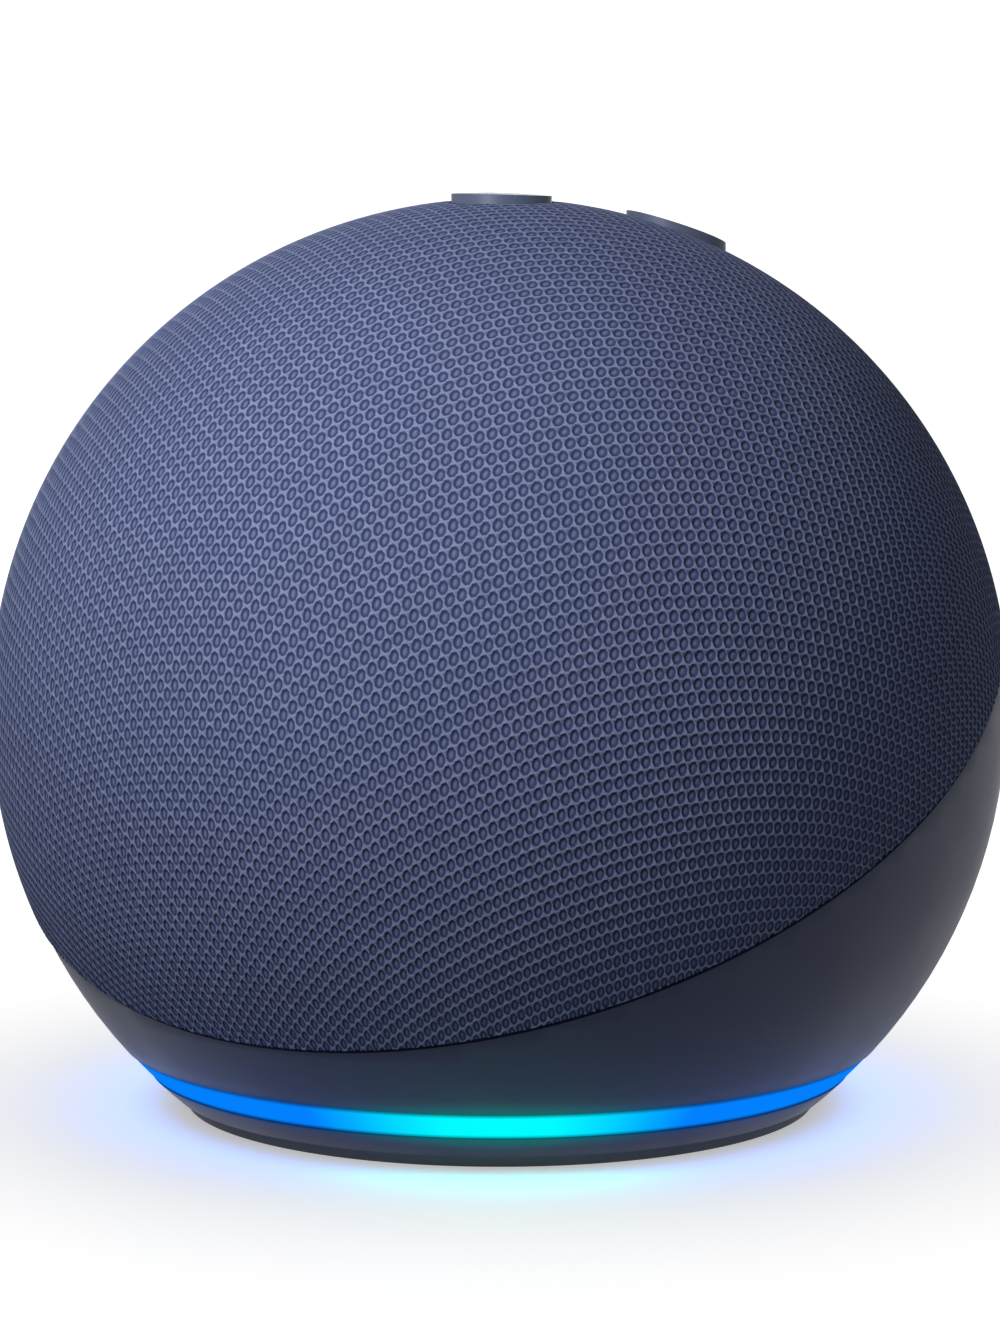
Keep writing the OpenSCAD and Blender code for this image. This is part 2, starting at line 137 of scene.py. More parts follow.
def maths(tree, operation, a, b=None, c=None, clamp=False):
    node = tree.nodes.new("ShaderNodeMath")
    node.operation = operation
    node.use_clamp = clamp
    for socket, value in zip(node.inputs, (a, b, c)):
        if value is None:
            continue
        if isinstance(value, (int, float)):
            socket.default_value = value
        else:
            tree.links.new(value, socket)
    return node.outputs[0]

def make_table():
    bm = bmesh.new()
    bmesh.ops.create_grid(bm, x_segments=8, y_segments=8, size=4)
    mesh = bpy.data.meshes.new("table_top")
    bm.to_mesh(mesh)
    bm.free()
    table = bpy.data.objects.new("table_top", mesh)
    scene.collection.objects.link(table)
    material, tree, out = fresh_material("white_table")
    paint = tree.nodes.new("ShaderNodeBsdfPrincipled")
    paint.inputs["Base Color"].default_value = (0.75, 0.75, 0.75, 1)
    paint.inputs["Roughness"].default_value = 0.6
    paint.inputs["Specular IOR Level"].default_value = 0.1
    paint.inputs["Emission Color"].default_value = (1, 1, 1, 1)
    # An occlusion node dims the table's glow near the ball: a painted contact shadow.
    open_sky = tree.nodes.new("ShaderNodeAmbientOcclusion")
    open_sky.samples = 16
    open_sky.inputs["Distance"].default_value = 0.075
    seen = maths(tree, "MULTIPLY_ADD", open_sky.outputs["AO"], 0.62, 0.34)
    path = tree.nodes.new("ShaderNodeLightPath")
    direct = maths(tree, "MULTIPLY", seen, path.outputs["Is Camera Ray"])
    mirrored = maths(tree, "MULTIPLY_ADD", path.outputs["Is Glossy Ray"], 0.45, 0.08)
    tree.links.new(maths(tree, "MAXIMUM", direct, mirrored), paint.inputs["Emission Strength"])
    tree.links.new(paint.outputs[0], out.inputs[0])
    mesh.materials.append(material)
    return table

table = make_table()

# %% Build the room and the lamps
def make_room():
    world = bpy.data.worlds.new("studio")
    world.use_nodes = True
    tree = world.node_tree
    tree.nodes.clear()
    out = tree.nodes.new("ShaderNodeOutputWorld")
    sky = tree.nodes.new("ShaderNodeBackground")
    sky.inputs["Color"].default_value = (1, 1, 1, 1)
    path = tree.nodes.new("ShaderNodeLightPath")
    glossy = maths(tree, "MULTIPLY_ADD", path.outputs["Is Glossy Ray"], 0.45, 0.185)
    strength = maths(tree, "MULTIPLY_ADD", path.outputs["Is Camera Ray"], 0.90, glossy)
    tree.links.new(strength, sky.inputs["Strength"])
    tree.links.new(sky.outputs[0], out.inputs[0])
    scene.world = world

not_table = bpy.data.collections.new("lit_by_lamps")
not_table.objects.link(table)
not_table.collection_objects[0].light_linking.link_state = "EXCLUDE"

def soft_lamp(name, offset, width, power):
    data = bpy.data.lights.new(name, "AREA")
    data.shape = "DISK"
    data.size = width
    data.energy = power
    lamp = bpy.data.objects.new(name, data)
    towards = Vector(offset)
    lamp.location = centre + towards
    lamp.rotation_mode = "QUATERNION"
    lamp.rotation_quaternion = (-towards).to_track_quat("-Z", "Y")
    lamp.light_linking.receiver_collection = not_table
    scene.collection.objects.link(lamp)
    return lamp

make_room()
soft_lamp("near_lamp", (-0.005, -0.154, 0.123), 0.07, 0.32)
soft_lamp("back_lamp", (-0.80, 1.50, 0.22), 1.2, 12)
print("table, room and 2 lamps ready")

# %% [markdown]
# ## Shared surface effects
# Moulded plastic, rubber, metal and card all break up light a little: a fine grain from the
# mould, and slow patches where the finish is slightly rougher or paler. One node group
# makes both from Object coordinates, so that each material only chooses its own values. It
# gives a colour, a roughness and a height, and the shader stays in the material.

# %% Make the surface group
def new_group(name, inputs, outputs):
    group = bpy.data.node_groups.new(name, "ShaderNodeTree")
    for label, kind, value in inputs:
        socket = group.interface.new_socket(label, in_out="INPUT", socket_type=kind)
        socket.default_value = value
    for label, kind in outputs:
        group.interface.new_socket(label, in_out="OUTPUT", socket_type=kind)
    return group, group.nodes.new("NodeGroupInput"), group.nodes.new("NodeGroupOutput")

def noise(tree, vector, scale, detail=2.0):
    node = tree.nodes.new("ShaderNodeTexNoise")
    node.inputs["Detail"].default_value = detail
    tree.links.new(vector, node.inputs["Vector"])
    if isinstance(scale, (int, float)):
        node.inputs["Scale"].default_value = scale
    else:
        tree.links.new(scale, node.inputs["Scale"])
    return node.outputs["Fac"]

def make_surface_group():
    group, given, result = new_group(
        "Moulded surface",
        [
            ("Colour", "NodeSocketColor", (0.5, 0.5, 0.5, 1)),
            ("Tint", "NodeSocketFloat", 0.1),
            ("Roughness", "NodeSocketFloat", 0.5),
            ("Grain per metre", "NodeSocketFloat", 3000.0),
            ("Patches per metre", "NodeSocketFloat", 90.0),
        ],
        [
            ("Colour", "NodeSocketColor"),
            ("Roughness", "NodeSocketFloat"),
            ("Height", "NodeSocketFloat"),
        ],
    )
    place = group.nodes.new("ShaderNodeTexCoord").outputs["Object"]
    grain = noise(group, place, given.outputs["Grain per metre"], 3)
    patches = noise(group, place, given.outputs["Patches per metre"], 3)
    centred = maths(group, "SUBTRACT", patches, 0.5)
    fine = maths(group, "SUBTRACT", grain, 0.5)
    both = maths(group, "ADD", centred, maths(group, "MULTIPLY", fine, 0.7))
    factor = maths(group, "MULTIPLY_ADD", both, given.outputs["Tint"], 1.0)
    shade = group.nodes.new("ShaderNodeVectorMath")
    shade.operation = "SCALE"
    group.links.new(given.outputs["Colour"], shade.inputs[0])
    group.links.new(factor, shade.inputs["Scale"])
    group.links.new(shade.outputs[0], result.inputs["Colour"])
    rough = maths(group, "MULTIPLY_ADD", centred, 0.25, given.outputs["Roughness"], clamp=True)
    group.links.new(rough, result.inputs["Roughness"])
    group.links.new(grain, result.inputs["Height"])
    return group

surface_group = make_surface_group()
print("surface group has", len(surface_group.nodes), "nodes")

# %% [markdown]
# ## One recipe for the plain finishes
# Most inner parts need the same recipe with other numbers, so a helper makes a material
# from the group: its colour, how shiny and how metallic it is, and how deep its grain is.

# %% Write the finish helper
def bump(tree, height, distance, strength=1.0):
    node = tree.nodes.new("ShaderNodeBump")
    node.inputs["Distance"].default_value = distance
    node.inputs["Strength"].default_value = strength
    tree.links.new(height, node.inputs["Height"])
    return node.outputs[0]

def plain_finish(name, colour, roughness, grain=3000.0, depth=0.01, tint=0.12,
                 metal=0.0, coat=0.0, sheen=0.0, gloss=0.5):
    material, tree, out = fresh_material(name)
    shader = tree.nodes.new("ShaderNodeBsdfPrincipled")
    surface = tree.nodes.new("ShaderNodeGroup")
    surface.node_tree = surface_group
    surface.inputs["Colour"].default_value = (*colour, 1)
    surface.inputs["Tint"].default_value = tint
    surface.inputs["Roughness"].default_value = roughness
    surface.inputs["Grain per metre"].default_value = grain
    shader.inputs["Metallic"].default_value = metal
    shader.inputs["Coat Weight"].default_value = coat
    shader.inputs["Coat Roughness"].default_value = 0.15
    shader.inputs["Sheen Weight"].default_value = sheen
    shader.inputs["Specular IOR Level"].default_value = gloss
    tree.links.new(surface.outputs["Colour"], shader.inputs["Base Color"])
    tree.links.new(surface.outputs["Roughness"], shader.inputs["Roughness"])
    tree.links.new(bump(tree, surface.outputs["Height"], depth * MM), shader.inputs["Normal"])
    tree.links.new(shader.outputs[0], out.inputs[0])
    return material

# %% Mix the plain finishes
finish = {
    "dome_plastic": plain_finish("black_dome_plastic", (0.020, 0.022, 0.030), 0.55),
    "white_plastic": plain_finish("white_moulding", (0.78, 0.78, 0.75), 0.35, depth=0.004, tint=0.04),
    "rubber": plain_finish(
        "matt_rubber", (0.150, 0.165, 0.200), 0.70, grain=2400, depth=0.02, tint=0.25, gloss=0.3),
    "steel": plain_finish(
        "zinc_plated_steel", (0.56, 0.57, 0.59), 0.30, grain=5200, depth=0.003, tint=0.10, metal=1.0),
    "chip": plain_finish("moulded_chip_body", (0.018, 0.018, 0.020), 0.50, grain=6000),
    "lamp": plain_finish("lamp_package", (0.80, 0.88, 0.95), 0.15, depth=0.002, tint=0.05, coat=0.6),
    "aluminium": plain_finish(
        "plain_aluminium", (0.72, 0.73, 0.75), 0.34, grain=4200, depth=0.003, tint=0.08, metal=1.0),
    "brass": plain_finish(
        "gold_plated_contact", (0.80, 0.58, 0.25), 0.24, depth=0.002, tint=0.08, metal=1.0),
    "ferrite": plain_finish(
        "ferrite_ceramic", (0.030, 0.030, 0.033), 0.62, grain=2800, depth=0.03, tint=0.3),
    "box_plastic": plain_finish("black_box_plastic", (0.024, 0.025, 0.029), 0.48),
    "paper": plain_finish(
        "pressed_paper_pulp", (0.030, 0.031, 0.035), 0.85, grain=1800, depth=0.05, tint=0.4, sheen=0.2),
    "cloth": plain_finish(
        "resin_stiffened_cloth", (0.55, 0.38, 0.15), 0.65, grain=2600, depth=0.05, tint=0.3),
    "wadding": plain_finish(
        "polyester_wadding", (0.80, 0.79, 0.75), 0.95, grain=900, depth=0.35, tint=0.2, sheen=0.5),
    "copper": plain_finish("enamelled_copper", (0.72, 0.31, 0.13), 0.25, tint=0.1, metal=1.0, coat=0.5),
    "film": plain_finish("amber_film", (0.50, 0.29, 0.08), 0.28, depth=0.002, coat=0.4),
    "lead_insulation": plain_finish("red_wire_insulation", (0.42, 0.022, 0.020), 0.42, tint=0.1),
}
print(len(finish), "plain finishes mixed")

# %% [markdown]
# ## The colour of the light ring
# The ring is blue all round, and turns to bright cyan over a short arc where it answers
# whoever is speaking. The arc is a matter of direction round the ball, so one group turns
# the angle round the vertical axis into that colour. The ring uses it at full strength, and
# the plastic beside it borrows the same colour for a glow painted on to its edges.

# %% Make the ring colour group
cyan_azimuth = math.radians(30.8)
ring_low, ring_high = (v.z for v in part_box("light_ring"))

def ramp(tree, value, stops):
    node = tree.nodes.new("ShaderNodeValToRGB")
    band = node.color_ramp
    band.elements[0].position, band.elements[0].color = stops[0][0], (*stops[0][1], 1)
    band.elements[1].position, band.elements[1].color = stops[-1][0], (*stops[-1][1], 1)
    for at, colour in stops[1:-1]:
        band.elements.new(at).color = (*colour, 1)
    tree.links.new(value, node.inputs[0])
    return node.outputs[0]

def make_ring_group():
    group, _, result = new_group(
        "Ring light",
        [],
        [("Colour", "NodeSocketColor"), ("Cyan", "NodeSocketFloat"), ("Height", "NodeSocketFloat")],
    )
    place = group.nodes.new("ShaderNodeTexCoord").outputs["Object"]
    split = group.nodes.new("ShaderNodeSeparateXYZ")
    group.links.new(place, split.inputs[0])
    ahead = maths(group, "MULTIPLY", split.outputs[0], math.sin(cyan_azimuth))
    ahead = maths(group, "MULTIPLY_ADD", split.outputs[1], -math.cos(cyan_azimuth), ahead)
    across = maths(group, "MULTIPLY", split.outputs[0], math.cos(cyan_azimuth))
    across = maths(group, "MULTIPLY_ADD", split.outputs[1], math.sin(cyan_azimuth), across)
    angle = maths(group, "ABSOLUTE", maths(group, "ARCTAN2", across, ahead))
    share = maths(group, "DIVIDE", angle, math.pi)
    colour = ramp(group, share, [
        (0.0, (0.0, 1.0, 1.0)), (0.045, (0.0, 0.96, 1.0)), (0.085, (0.0, 0.70, 1.0)),
        (0.125, (0.0, 0.42, 1.0)), (0.165, (0.0, 0.215, 0.98)), (1.0, (0.0, 0.205, 0.96)),
    ])
    group.links.new(colour, result.inputs["Colour"])
    cyan = maths(group, "SUBTRACT", 1.0, maths(group, "DIVIDE", share, 0.15), clamp=True)
    group.links.new(cyan, result.inputs["Cyan"])
    group.links.new(split.outputs[2], result.inputs["Height"])
    return group

ring_group = make_ring_group()
print(f"ring runs from {ring_low / MM:.2f} to {ring_high / MM:.2f} mm above the table")

# %% [markdown]
# ## The lit diffuser
# The ring is milky plastic with lamps behind it. It glows evenly along its length and falls
# off in the last fraction of a millimetre at its two edges, where the shells hide the lamps.
# A light bright enough to colour the table would wash out white if it were seen directly,
# so the material gives the eye the true colour and gives the room a stronger glow.

# %% Make the diffuser material
edge_width = 0.40 * MM
edge_light = 0.28

def edge_falloff(tree, height):
    below = maths(tree, "DIVIDE", maths(tree, "SUBTRACT", height, ring_low), edge_width)
    above = maths(tree, "DIVIDE", maths(tree, "SUBTRACT", ring_high, height), edge_width)
    inward = maths(tree, "MINIMUM", below, above)
    return maths(tree, "MULTIPLY_ADD", inward, 1 - edge_light, edge_light, clamp=True)

def make_diffuser():
    material, tree, out = fresh_material("lit_diffuser")
    shader = tree.nodes.new("ShaderNodeBsdfPrincipled")
    ring = tree.nodes.new("ShaderNodeGroup")
    ring.node_tree = ring_group
    glow = edge_falloff(tree, ring.outputs["Height"])
    dim = tree.nodes.new("ShaderNodeVectorMath")
    dim.operation = "SCALE"
    tree.links.new(ring.outputs["Colour"], dim.inputs[0])
    tree.links.new(glow, dim.inputs["Scale"])
    tree.links.new(dim.outputs[0], shader.inputs["Emission Color"])
    path = tree.nodes.new("ShaderNodeLightPath")
    strength = maths(tree, "MULTIPLY_ADD", path.outputs["Is Diffuse Ray"], 3.0, 1.0)
    tree.links.new(strength, shader.inputs["Emission Strength"])
    surface = tree.nodes.new("ShaderNodeGroup")
    surface.node_tree = surface_group
    surface.inputs["Colour"].default_value = (0.004, 0.010, 0.014, 1)
    surface.inputs["Roughness"].default_value = 0.6
    shader.inputs["Specular IOR Level"].default_value = 0.0
    tree.links.new(surface.outputs["Colour"], shader.inputs["Base Color"])
    tree.links.new(surface.outputs["Roughness"], shader.inputs["Roughness"])
    tree.links.new(shader.outputs[0], out.inputs[0])
    return material

finish["diffuser"] = make_diffuser()

# %% [markdown]
# ## Shell plastic with painted glow at its edges
# The shell, the cup under the ring and the keys are satin slate plastic, the keys in a
# paler mix. Beside the ring the shell and the cup get a painted glow in the ring's colour,
# most of all by the cyan arc: emission of their own material, not light from the ring. The
# glow fades within a millimetre or two, so it is a mask of height from the ring's two edges.
# The same mask darkens the plastic there and dims its gloss: painted shade in the joint.

# %% Make the shell and key materials
blue_reach, cyan_reach = 0.50 * MM, 1.05 * MM
# Strength of the glow painted on to the plastic beside the ring, and depth of the painted shade in its
# joint
painted_glow_strength = 0.125
joint_shade = 0.8
shell_gloss = 0.25

def shell_finish(name, colour, roughness, with_painted_glow):
    material = plain_finish(name, colour, roughness, grain=4200, depth=0.006, tint=0.10, gloss=shell_gloss)
    tree = material.node_tree
    shader = next(n for n in tree.nodes if n.type == "BSDF_PRINCIPLED")
    shader.inputs["Specular Tint"].default_value = (0.80, 0.83, 1.0, 1)
    if not with_painted_glow:
        return material
    ring = tree.nodes.new("ShaderNodeGroup")
    ring.node_tree = ring_group
    # Painted glow and painted shade share one mask: height away from the ring's two edges.
    above = maths(tree, "SUBTRACT", ring.outputs["Height"], ring_high)
    below = maths(tree, "SUBTRACT", ring_low, ring.outputs["Height"])
    away = maths(tree, "MAXIMUM", maths(tree, "MAXIMUM", above, below), 0.0)
    reach_out = maths(tree, "MULTIPLY_ADD", ring.outputs["Cyan"], cyan_reach - blue_reach, blue_reach)
    steps_out = maths(tree, "POWER", maths(tree, "DIVIDE", away, reach_out), 2.0)
    painted_glow_and_shade_mask = maths(tree, "EXPONENT", maths(tree, "MULTIPLY", steps_out, -1.0))
    painted_glow_gain = maths(tree, "MULTIPLY", painted_glow_and_shade_mask, painted_glow_strength)
    # Painted glow: the ring's colour as emission of the plastic itself.
    glow = tree.nodes.new("ShaderNodeVectorMath")
    glow.operation = "SCALE"
    tree.links.new(ring.outputs["Colour"], glow.inputs[0])
    tree.links.new(painted_glow_gain, glow.inputs["Scale"])
    tree.links.new(glow.outputs[0], shader.inputs["Emission Color"])
    shader.inputs["Emission Strength"].default_value = 1.0
    plain = shader.inputs["Base Color"].links[0].from_socket
    # Painted shade: the same mask darkens the base colour in the joint.
    shaded = tree.nodes.new("ShaderNodeVectorMath")
    shaded.operation = "SCALE"
    tree.links.new(plain, shaded.inputs[0])
    tree.links.new(maths(tree, "MULTIPLY_ADD", painted_glow_and_shade_mask, -joint_shade, 1.0), shaded.inputs["Scale"])
    tree.links.new(shaded.outputs[0], shader.inputs["Base Color"])
    dull = maths(tree, "MULTIPLY_ADD", painted_glow_and_shade_mask, -0.22, shell_gloss)
    tree.links.new(dull, shader.inputs["Specular IOR Level"])
    return material

# The shell and cup get the painted glow and painted shade; the keys do not.
finish["shell_plastic"] = shell_finish("satin_slate_shell", (0.038, 0.046, 0.092), 0.42, with_painted_glow=True)
finish["key_plastic"] = shell_finish("satin_slate_key", (0.085, 0.105, 0.165), 0.45, with_painted_glow=False)
print("shell, key and diffuser finishes mixed")

# %% [markdown]
# ## Circuit boards
# A board is green lacquer over copper tracks, with bare pads that are tinned. Tracks run
# mostly straight with short slanted steps, so two stretched cell patterns give the lines
# and a dotted one gives the pads and the through holes.

# %% Make the circuit board material
def make_board():
    material, tree, out = fresh_material("lacquered_circuit_board")
    shader = tree.nodes.new("ShaderNodeBsdfPrincipled")
    place = tree.nodes.new("ShaderNodeTexCoord").outputs["Object"]
    masks = []
    for turn, stretch in ((0, (700, 120, 1)), (1, (120, 620, 1))):
        mapping = tree.nodes.new("ShaderNodeMapping")
        mapping.inputs["Scale"].default_value = stretch
        mapping.inputs["Rotation"].default_value[2] = 0.02 + 0.78 * turn
        tree.links.new(place, mapping.inputs["Vector"])
        cells = tree.nodes.new("ShaderNodeTexVoronoi")
        cells.feature = "DISTANCE_TO_EDGE"
        cells.inputs["Scale"].default_value = 1.0
        tree.links.new(mapping.outputs[0], cells.inputs["Vector"])
        masks.append(maths(tree, "LESS_THAN", cells.outputs["Distance"], 0.16))
    tracks = maths(tree, "MAXIMUM", masks[0], masks[1])
    dots = tree.nodes.new("ShaderNodeTexVoronoi")
    dots.inputs["Scale"].default_value = 520
    dots.inputs["Randomness"].default_value = 0.6
    tree.links.new(place, dots.inputs["Vector"])
    pads = maths(tree, "LESS_THAN", dots.outputs["Distance"], 0.20)
    lacquer = ramp(tree, tracks, [(0.0, (0.006, 0.060, 0.030)), (1.0, (0.012, 0.130, 0.062))])
    mix = tree.nodes.new("ShaderNodeMix")
    mix.data_type = "RGBA"
    tree.links.new(pads, mix.inputs["Factor"])
    tree.links.new(lacquer, mix.inputs["A"])
    mix.inputs["B"].default_value = (0.62, 0.60, 0.54, 1)
    tree.links.new(mix.outputs["Result"], shader.inputs["Base Color"])
    tree.links.new(pads, shader.inputs["Metallic"])
    shader.inputs["Roughness"].default_value = 0.32
    tree.links.new(bump(tree, maths(tree, "MAXIMUM", tracks, pads), 0.02 * MM), shader.inputs["Normal"])
    tree.links.new(shader.outputs[0], out.inputs[0])
    return material

finish["circuit_board"] = make_board()

# %% [markdown]
# ## Give every CAD node its finish
# The record says which finish each node has. Walking through that list means that no inner
# part is left with a plain default, even those that only show when the ball is opened.

# %% Dress the CAD nodes
slot_of = {part["node"]: part["material_slot"] for part in frame["record"]["subparts"]}

def dress(obj, material):
    obj.data.materials.clear()
    obj.data.materials.append(material)

for name, node in nodes.items():
    if slot_of[name] != "knit":
        dress(node, finish[slot_of[name]])
print(len(nodes), "CAD nodes,", len(set(slot_of.values())), "slots")

# %% [markdown]
# ## The yarn of the cover
# The knit is a net of pale yarn round small dark wells, each with a nub of yarn at its
# bottom. The modelled cell carries an attribute that is 1 on the net and 0 in the wells, so
# one material can colour all of it: a ramp from the deep blue to the pale blue, slow patches
# where the dye took differently, and a fine twist along the yarn.

# %% Make the knit material
def make_knit():
    material, tree, out = fresh_material("honeycomb_knit")
    shader = tree.nodes.new("ShaderNodeBsdfPrincipled")
    yarn = tree.nodes.new("ShaderNodeAttribute")
    yarn.attribute_name = "yarn"
    place = tree.nodes.new("ShaderNodeTexCoord").outputs["Object"]
    fibre = noise(tree, place, 9000, 3)
    cell = noise(tree, place, 620, 2)
    dye = noise(tree, place, 45, 2)
    loose = maths(tree, "MULTIPLY", maths(tree, "SUBTRACT", cell, 0.5), 0.22)
    level = maths(tree, "ADD", yarn.outputs["Fac"], loose)
    level = maths(tree, "MULTIPLY_ADD", maths(tree, "SUBTRACT", fibre, 0.5), 0.24, level, clamp=True)
    net = ramp(tree, level, [
        (0.0, (0.034, 0.044, 0.112)), (0.50, (0.046, 0.059, 0.140)),
        (0.78, (0.104, 0.125, 0.228)), (0.92, (0.158, 0.186, 0.305)), (1.0, (0.186, 0.217, 0.350)),
    ])
    nub = tree.nodes.new("ShaderNodeAttribute")
    nub.attribute_name = "nub"
    mix = tree.nodes.new("ShaderNodeMix")
    mix.data_type = "RGBA"
    lump = maths(tree, "POWER", nub.outputs["Fac"], 2.0)
    twist = maths(tree, "MULTIPLY_ADD", fibre, 1.4, 0.15)
    tree.links.new(maths(tree, "MULTIPLY", lump, twist, clamp=True), mix.inputs["Factor"])
    tree.links.new(net, mix.inputs["A"])
    mix.inputs["B"].default_value = (0.135, 0.160, 0.278, 1)
    colour = mix.outputs["Result"]
    shade = tree.nodes.new("ShaderNodeVectorMath")
    shade.operation = "SCALE"
    tree.links.new(colour, shade.inputs[0])
    tree.links.new(maths(tree, "MULTIPLY_ADD", dye, 0.16, 0.92), shade.inputs["Scale"])
    tree.links.new(shade.outputs[0], shader.inputs["Base Color"])
    tree.links.new(maths(tree, "MULTIPLY_ADD", fibre, 0.2, 0.78), shader.inputs["Roughness"])
    shader.inputs["Specular IOR Level"].default_value = 0.05
    tree.links.new(bump(tree, fibre, 0.012 * MM), shader.inputs["Normal"])
    tree.links.new(shader.outputs[0], out.inputs[0])
    return material

finish["knit"] = make_knit()

# %% [markdown]
# ## One cell of the knit
# Laid flat, the cells stand in offset rows, 1.96 mm apart across and 1.68 mm apart in
# height. A cell is a diamond-shaped tile: its border is the middle of the net, so tiles meet
# exactly. Starting from one eight-sided face, three insets give the lip of the well, its
# bottom and the nub, and each ring of corners is then moved to its ellipse and depth.

# %% Model one cell
cell_w, cell_h = 1.961 * MM, 1.683 * MM
well_rings = [  # half width, half height, height, yarn, nub
    (0.545, 0.730, -0.040, 0.84, 0.0),
    (0.420, 0.600, -0.145, 0.00, 0.0),
    (0.085, 0.260, -0.080, 0.00, 1.0),
]

def corner_angle(vertex):
    return round(math.degrees(math.atan2(vertex.co.y, vertex.co.x)) / 45) * math.radians(45)

def add_cell(bm, x, y):
    yarn, nub = (bm.verts.layers.float[label] for label in ("yarn", "nub"))
    already = set(bm.verts)
    made = bmesh.ops.create_circle(bm, cap_ends=True, segments=8, radius=MM)
    verts = made["verts"]
    face = verts[0].link_faces[0]
    for v in verts:
        a = corner_angle(v)
        c, s = math.cos(a), math.sin(a)
        scale = 0.5 / (abs(c) + abs(s))
        v.co = (cell_w * scale * c, cell_h * scale * s, 0)
        v[yarn] = 1.0
    for half_w, half_h, height, tone, lump in well_rings:
        bmesh.ops.inset_region(
            bm, faces=[face], thickness=0.05 * MM, use_boundary=True, use_even_offset=False,
        )
        for v in face.verts:
            a = corner_angle(v)
            v.co = (half_w * MM * math.cos(a), half_h * MM * math.sin(a), height * MM)
            v[yarn], v[nub] = tone, lump
    bmesh.ops.translate(bm, verts=[v for v in bm.verts if v not in already], vec=(x, y, 0))

def knit_unit():
    bm = bmesh.new()
    bm.verts.layers.float.new("yarn")
    bm.verts.layers.float.new("nub")
    add_cell(bm, 0, 0)
    add_cell(bm, cell_w / 2, cell_h / 2)
    bmesh.ops.remove_doubles(bm, verts=bm.verts, dist=0.01 * MM)
    mesh = bpy.data.meshes.new("knit_unit")
    bm.to_mesh(mesh)
    bm.free()
    print("two cells:", len(mesh.vertices), "corners,", len(mesh.polygons), "faces")
    return mesh

unit = knit_unit()

# %% [markdown]
# ## Bend the flat knit over the ball
# A knit is stretched evenly from the middle of the cover to its edge: distance along the
# cloth becomes angle from the pole, and direction stays. That is how a flat map of the pole
# keeps its distances, and it is why the rows fan out towards the sides. Two Array modifiers
# lay the cells in strips, and the formula then bends each strip. A strip keeps whole cells,
# so its jagged side meets the next one without a gap.

# %% Lay the strips and bend them
across = Vector((1, 0, 0))
up_slope = pole.cross(across)

def lay_strip(first, count):
    flat = bpy.data.objects.new("flat_strip", unit.copy())
    scene.collection.objects.link(flat)
    half = ball_r * math.radians(94)
    left, right = first * cell_w, (first + count) * cell_w
    inner = 0 if left < 0 < right else min(abs(left), abs(right))
    rows = math.ceil(math.sqrt(max(half**2 - inner**2, 0)) / cell_h)
    counts = (("columns", count, (cell_w, 0, 0)), ("rows", 2 * rows, (0, cell_h, 0)))
    for label, steps, offset in counts:
        array = flat.modifiers.new(label, "ARRAY")
        array.use_relative_offset = False
        array.use_constant_offset = True
        array.constant_offset_displace = offset
        array.count = steps
        array.use_merge_vertices = True
        array.merge_threshold = 0.01 * MM
    bpy.context.view_layer.update()
    laid = flat.evaluated_get(bpy.context.evaluated_depsgraph_get())
    mesh = bpy.data.meshes.new_from_object(laid)
    mesh.transform(Matrix.Translation((left, -rows * cell_h, 0)))
    bpy.data.objects.remove(flat)
    return mesh

def bend_over_ball(mesh):
    co = np.empty(len(mesh.vertices) * 3)
    mesh.vertices.foreach_get("co", co)
    x, y, z = co.reshape(-1, 3).T
    x = x + 0.030 * MM * np.sin(y * 1900 + 3 * np.sin(x * 700))
    y = y + 0.030 * MM * np.sin(x * 2300 + 3 * np.sin(y * 600))
    far = np.maximum(np.hypot(x, y), 1e-9)
    turn = far / ball_r
    flat_dir = (np.outer(x / far, across) + np.outer(y / far, up_slope)) * np.sin(turn)[:, None]
    out = flat_dir + np.outer(np.cos(turn), pole)
    bent = out * (ball_r + z)[:, None] + np.array(centre)
    mesh.vertices.foreach_set("co", bent.ravel())

# %% [markdown]
# ## Trim the cover
# The cloth ends at the seam and at four round holes for the keys. A straight cut along the
# seam's plane gives the first. For a hole, the cells inside it go, and the broken edge is
# drawn in to a circle, as the real cloth is. Each cut edge is then folded down under the
# cover, so no paper-thin rim shows.

# %% Trim and fold the edges
key_back, key_spread = 12.8, 12.5  # the middle of the keys, and how far they stand from it
key_spots = [
    (0, key_back - key_spread), (key_spread, key_back),
    (0, key_back + key_spread), (-key_spread, key_back),
]
hole_r = 5.05 * MM
hem_depth = 0.12 * MM    # how far a cut edge is drawn in below the cloth
hem_reach = 0.75 * MM    # the loose edge this close to a hole is drawn in to it
fold_depth = 0.45 * MM   # the folded edge inside a key's hole
seam_fold = 0.6 * MM     # the folded edge at the seam
on_edge = 2e-6

def cut_at_seam(bm):
    bmesh.ops.bisect_plane(
        bm, geom=[*bm.verts, *bm.edges, *bm.faces], dist=1e-7,
        plane_co=centre - pole * seam_drop, plane_no=pole, clear_inner=True,
    )

def cut_key_hole(bm, spot):
    axis = Vector((spot[0] * MM, spot[1] * MM))
    near = [f for f in bm.faces if f.calc_center_median().z > centre.z
            and (f.calc_center_median().xy - axis).length < hole_r + hem_depth]
    if not near:
        return
    bmesh.ops.delete(bm, geom=near, context="FACES")
    for v in bm.verts:
        if v.is_boundary and v.co.z > centre.z:
            out = v.co.xy - axis
            if out.length < hole_r + hem_reach:
                spot_xy = axis + out.normalized() * hole_r
                height = math.sqrt((ball_r - hem_depth) ** 2 - spot_xy.length_squared)
                v.co = (*spot_xy, centre.z + height)

def at_seam(v):
    return abs((v.co - centre).dot(pole) + seam_drop) < on_edge

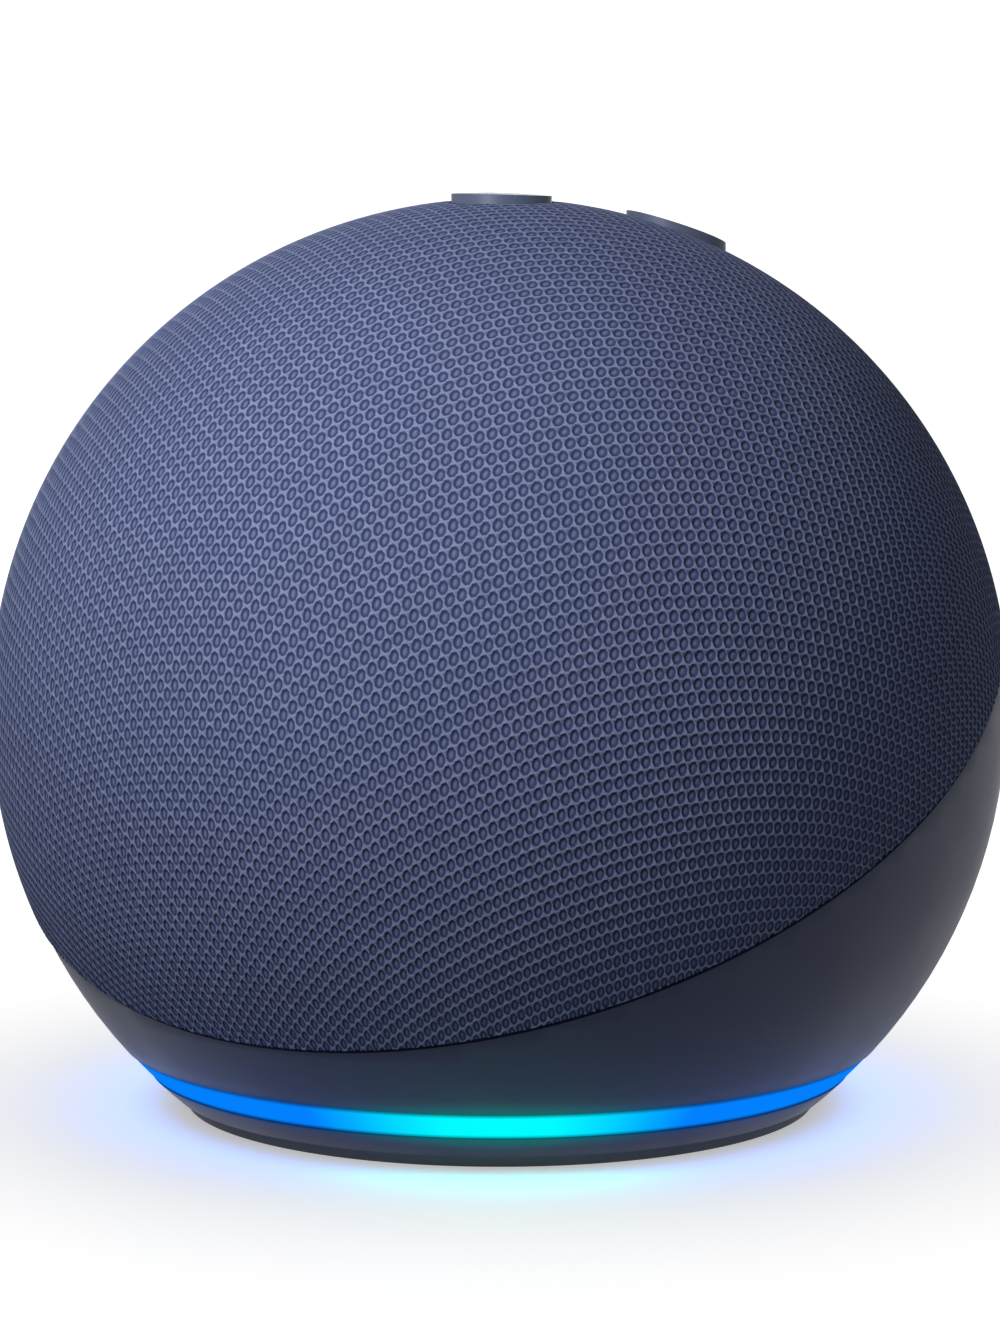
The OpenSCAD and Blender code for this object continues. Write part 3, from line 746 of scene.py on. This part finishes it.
def at_key_hole(v):
    off = [abs((v.co.xy - Vector(spot) * MM).length - hole_r) for spot in key_spots]
    return v.co.z > centre.z and min(off) < on_edge

def fold_edges(bm):
    loose = [e for e in bm.edges if e.is_boundary]
    seam = [e for e in loose if all(at_seam(v) for v in e.verts)]
    rim = [e for e in loose if all(at_key_hole(v) for v in e.verts)]
    for edges, way in ((seam, None), (rim, Vector((0, 0, -fold_depth)))):
        grown = bmesh.ops.extrude_edge_only(bm, edges=edges)
        for v in (g for g in grown["geom"] if isinstance(g, bmesh.types.BMVert)):
            v.co += way if way else (centre - pole * seam_drop - v.co).normalized() * seam_fold

# %% [markdown]
# ## Panels of the cover
# The whole cover has about 12,500 cells, more triangles than one piece may hold. The
# whole cover has about 12,500 cells and a great many triangles, so it is made as five
# panels of whole columns, each laid as its own strip on the flat map that was bent.

# %% Make one panel

def knit_panel(name, first, count):
    mesh = lay_strip(first, count)
    bend_over_ball(mesh)
    bm = bmesh.new()
    bm.from_mesh(mesh)
    cut_at_seam(bm)
    for spot in key_spots:
        cut_key_hole(bm, spot)
    fold_edges(bm)
    bm.to_mesh(mesh)
    bm.free()
    mesh.name = name
    mesh.polygons.foreach_set("use_smooth", [True] * len(mesh.polygons))
    panel = bpy.data.objects.new(name, mesh)
    scene.collection.objects.link(panel)
    dress(panel, finish["knit"])
    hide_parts("fabric_cover")
    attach(panel, "housing")
    triangles = sum(len(p.vertices) - 2 for p in mesh.polygons)
    print(name, count, "columns,", triangles, "triangles")
    return panel

# %% Make the panels
strips = [(-43, 24), (-19, 12), (-7, 14), (7, 12), (19, 24)]  # first column, columns
panels = [knit_panel(f"knit_cover_{i + 1}", *strip) for i, strip in enumerate(strips)]

# %% [markdown]
# ## Moulded edges
# No moulded edge is razor sharp: where two faces meet, a radius of about a tenth of a
# millimetre catches a thin line of light, and that line is what makes plastic look real.
# The CAD shapes of the shell, ring, cup, foot and keys are right but sharp, so each is
# copied, its loose triangles are welded, and every edge sharper than 35 degrees is bevelled.

# %% Soften the moulded parts
def softened(node_name, name, width):
    bm = bmesh.new()
    bm.from_mesh(nodes[node_name].data)
    bmesh.ops.remove_doubles(bm, verts=bm.verts, dist=0.002 * MM)
    sharp = [e for e in bm.edges if e.is_manifold and e.calc_face_angle() > math.radians(35)]
    bmesh.ops.bevel(
        bm, geom=sharp, affect="EDGES", offset_type="OFFSET", offset=width, segments=2,
        profile=0.5, material=-1, clamp_overlap=True,
    )
    mesh = bpy.data.meshes.new(name)
    bm.to_mesh(mesh)
    bm.free()
    mesh.polygons.foreach_set("use_smooth", [True] * len(mesh.polygons))
    mesh.set_sharp_from_angle(angle=math.radians(30))
    piece = bpy.data.objects.new(name, mesh)
    scene.collection.objects.link(piece)
    dress(piece, finish[slot_of[node_name]])
    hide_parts(node_name)
    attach(piece, nodes[node_name]["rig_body"])
    print(name, len(sharp), "edges softened,", len(mesh.polygons), "faces")
    return piece

for node_name, name, width in (
    ("rear_housing", "rear_shell", 0.12), ("light_ring", "light_ring_diffuser", 0.08),
    ("base_cup", "base_ring_cup", 0.12), ("foot_pad", "rubber_foot", 0.15),
    ("volume_up_button", "plus_key", 0.10), ("volume_down_button", "minus_key", 0.10),
    ("action_button", "dot_key", 0.10), ("mute_button", "mute_key_top", 0.10),
):
    softened(node_name, name, width * MM)
